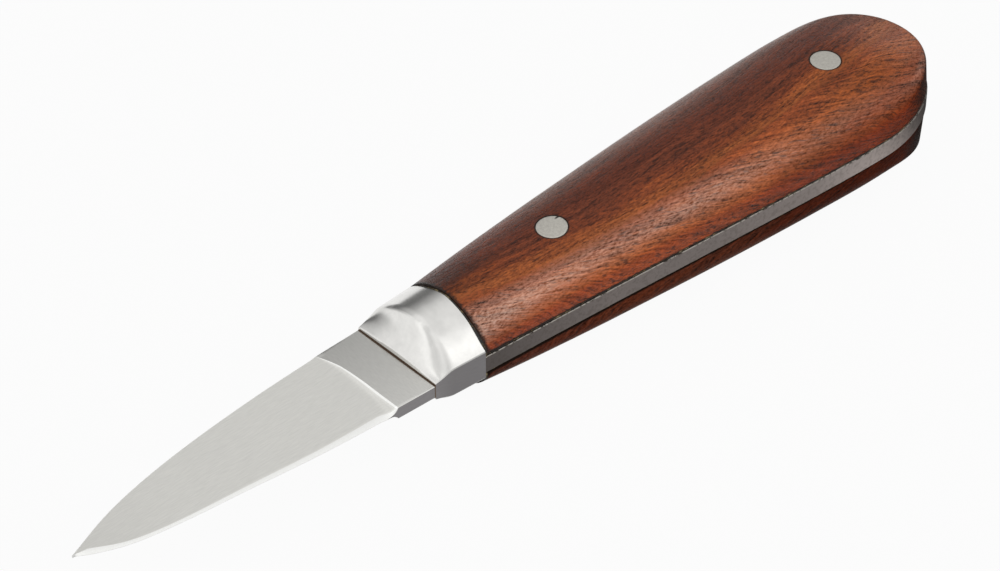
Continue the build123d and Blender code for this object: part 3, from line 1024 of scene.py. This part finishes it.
# the table, the room and its light
stage = {
    "floorHalf": 1.5,
    "floorDrop": 0.0001,
    "floorGrey": 0.45,
    "floorWhite": 0.95,
    "skyWhite": 0.966,
    # what the steel and the varnish mirror of the table: whiter beyond the spine side, at places in metres,
    # and darker near the knife, under the butt and behind it, as painted shade that only reflections show
    "tableAcross": ((-0.026, 1), (-0.012, 0.64)),
    "underButt": ((-0.09, 0.1), (-0.07, 1)),
    "behindButt": ((-0.115, 0.1), (-0.1, 1)),
    "behindFrom": ((-0.035, 1), (-0.015, 0)),
    "darkTo": ((-0.13, 1), (-0.09, 0)),
    # a dark room behind the spine side, under a ceiling that lightens upwards
    "dome": ((0, 0.3), (0.05, 0.18), (0.22, 0.15), (0.34, 0.36), (0.5, 0.53), (0.8, 0.74), (0.9, 0.95),
             (1, 1)),
    # a white wall beyond the tip, at shares of a turn, with its windows and shades, as the hollow of the
    # bolster mirrors them
    "wall": ((0.30, 0), (0.35, 0.5), (0.385, 0.95), (0.45, 1), (0.6, 0.8), (0.7, 0.4), (0.95, 0.3), (1, 0)),
    "panes": ((0.33, 0.68), (0.39, 0.76), (0.44, 0.86), (0.462, 1), (0.478, 0.95), (0.492, 0.67),
              (0.54, 0.67), (0.6, 0.8), (0.67, 0.95), (0.8, 0.8)),
    "wallLight": 1.28,
    # a soft box over the belly side
    "boxTowards": (-0.418, 0.668, 0.616),
    "boxFocus": 25,
    "boxLight": 0.65,
}


def makeFloor():
    size = stage["floorHalf"]
    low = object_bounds()[0].z - stage["floorDrop"]
    corners = [(-size, -size, low), (size, -size, low), (size, size, low), (-size, size, low)]
    data = bpy.data.meshes.new("floor")
    data.from_pydata(corners, [], [(0, 1, 2, 3)])
    material, nodes, shader, place = startMaterial("whitePaperSweep")
    nodes.remove(shader)
    paper = addNode(nodes, "BsdfDiffuse", {"Color": (*[stage["floorGrey"]] * 3, 1)})
    rays = addNode(nodes, "LightPath").outputs
    seen = addNode(nodes, "Math", [rays["Is Camera Ray"], stage["floorWhite"]], operation="MULTIPLY")
    shown = addNode(nodes, "Math", [rays["Is Glossy Ray"], rays["Is Transmission Ray"]], operation="MAXIMUM")
    x, y = addNode(nodes, "SeparateXYZ", {"Vector": place}).outputs[:2]
    # painted shade on the table near the knife, under the butt and behind it, seen only in reflections
    under, behind = along(nodes, x, stage["underButt"]), along(nodes, x, stage["behindButt"])
    dark = addNode(nodes, "Mix", {0: along(nodes, y, stage["behindFrom"]), "A": under, "B": behind})
    dark = addNode(nodes, "Mix", {0: along(nodes, y, stage["darkTo"]), "A": dark, "B": 1})
    table = addNode(nodes, "Math", [along(nodes, y, stage["tableAcross"]), dark], operation="MULTIPLY")
    strength = addNode(nodes, "Mix", {0: shown, "B": table, "A": 1})
    white = addNode(nodes, "Emission", {"Strength": strength})
    both = addNode(nodes, "Math", [seen, shown], operation="MAXIMUM")
    mix = addNode(nodes, "MixShader", [both, paper, white])
    feed(nodes["Material Output"], {"Surface": mix})
    data.materials.append(material)
    addObject("floor", data)


def makeWorld():
    world = bpy.data.worlds.new("studio")
    bpy.context.scene.world = world
    world.use_nodes = True
    nodes = world.node_tree.nodes
    nodes.clear()
    direction = addNode(nodes, "TexCoord").outputs["Generated"]
    x, y, z = addNode(nodes, "SeparateXYZ", {"Vector": direction}).outputs
    azimuth = addNode(nodes, "Math", [y, x], operation="ARCTAN2")
    turn = addNode(nodes, "MapRange", {"Value": azimuth, "From Min": -math.pi, "From Max": math.pi})
    dome, wall, panes = [addNode(nodes, "ValToRGB", {"Fac": fac}) for fac in (z, turn, turn)]
    for ramp, stops in ((dome, "dome"), (wall, "wall"), (panes, "panes")):
        fillRamp(ramp, stage[stops])
    panes = addNode(nodes, "VectorMath", [panes, [stage["wallLight"]] * 3], operation="MULTIPLY")
    dome = addNode(nodes, "Mix", {0: wall, "A": dome, "B": panes}, data_type="RGBA")
    towardsBox = addNode(nodes, "VectorMath", [direction, stage["boxTowards"]], operation="DOT_PRODUCT")
    glow = addNode(nodes, "Math", [towardsBox, 0], operation="MAXIMUM")
    for operation, value in (("POWER", stage["boxFocus"]), ("MULTIPLY", stage["boxLight"])):
        glow = addNode(nodes, "Math", [glow, value], operation=operation)
    dome = addNode(nodes, "VectorMath", [dome, glow], operation="ADD")
    rays = addNode(nodes, "LightPath").outputs
    white = (*[stage["skyWhite"]] * 3, 1)
    sky = addNode(nodes, "Mix", {0: rays["Is Camera Ray"], "A": dome, "B": white}, data_type="RGBA")
    back = addNode(nodes, "Background", {"Color": sky})
    addNode(nodes, "OutputWorld", {"Surface": back})


lampSetups = {
    # place and aim in metres, size in metres, power in watts
    "keyBox": {"place": (-0.37, 0.36, 0.54), "aim": (0, 0, 0), "size": 0.6, "power": 0.6},
}


def makeLamps():
    for name, setup in lampSetups.items():
        lamp = bpy.data.lights.new(name, "AREA")
        lamp.size = setup["size"]
        lamp.energy = setup["power"]
        holder = addObject(name, lamp)
        holder.location = setup["place"]
        # the steel mirrors the soft box of the world instead, which has no hard edge
        holder.visible_glossy = False
        aim = Vector(setup["aim"]) - Vector(setup["place"])
        holder.rotation_euler = aim.to_track_quat("-Z", "Y").to_euler()


# fitted to the photo: place in metres, lens and sensor in mm
cameraSetup = {
    "place": (0.28343, 0.32126, 0.38514),
    "forward": (-0.48872, -0.56175, -0.66753),
    "up": (-0.44481, -0.49778, 0.74455),
    "lens": 134.34,
    "sensor": 36,
    "clipStart": 0.01,
}


def makeCamera():
    data = bpy.data.cameras.new("camera")
    data.lens = cameraSetup["lens"]
    data.sensor_width = cameraSetup["sensor"]
    data.clip_start = cameraSetup["clipStart"]
    camera = addObject("camera", data)
    forward = Vector(cameraSetup["forward"]).normalized()
    right = forward.cross(Vector(cameraSetup["up"])).normalized()
    up = right.cross(forward)
    matrix = Matrix((right, up, -forward)).transposed().to_4x4()
    matrix.translation = cameraSetup["place"]
    camera.matrix_world = matrix
    bpy.context.scene.camera = camera


makeFloor()
makeWorld()
makeLamps()
makeCamera()
bpy.context.scene.view_settings.view_transform = "Standard"
print("stage, lamps and camera made")
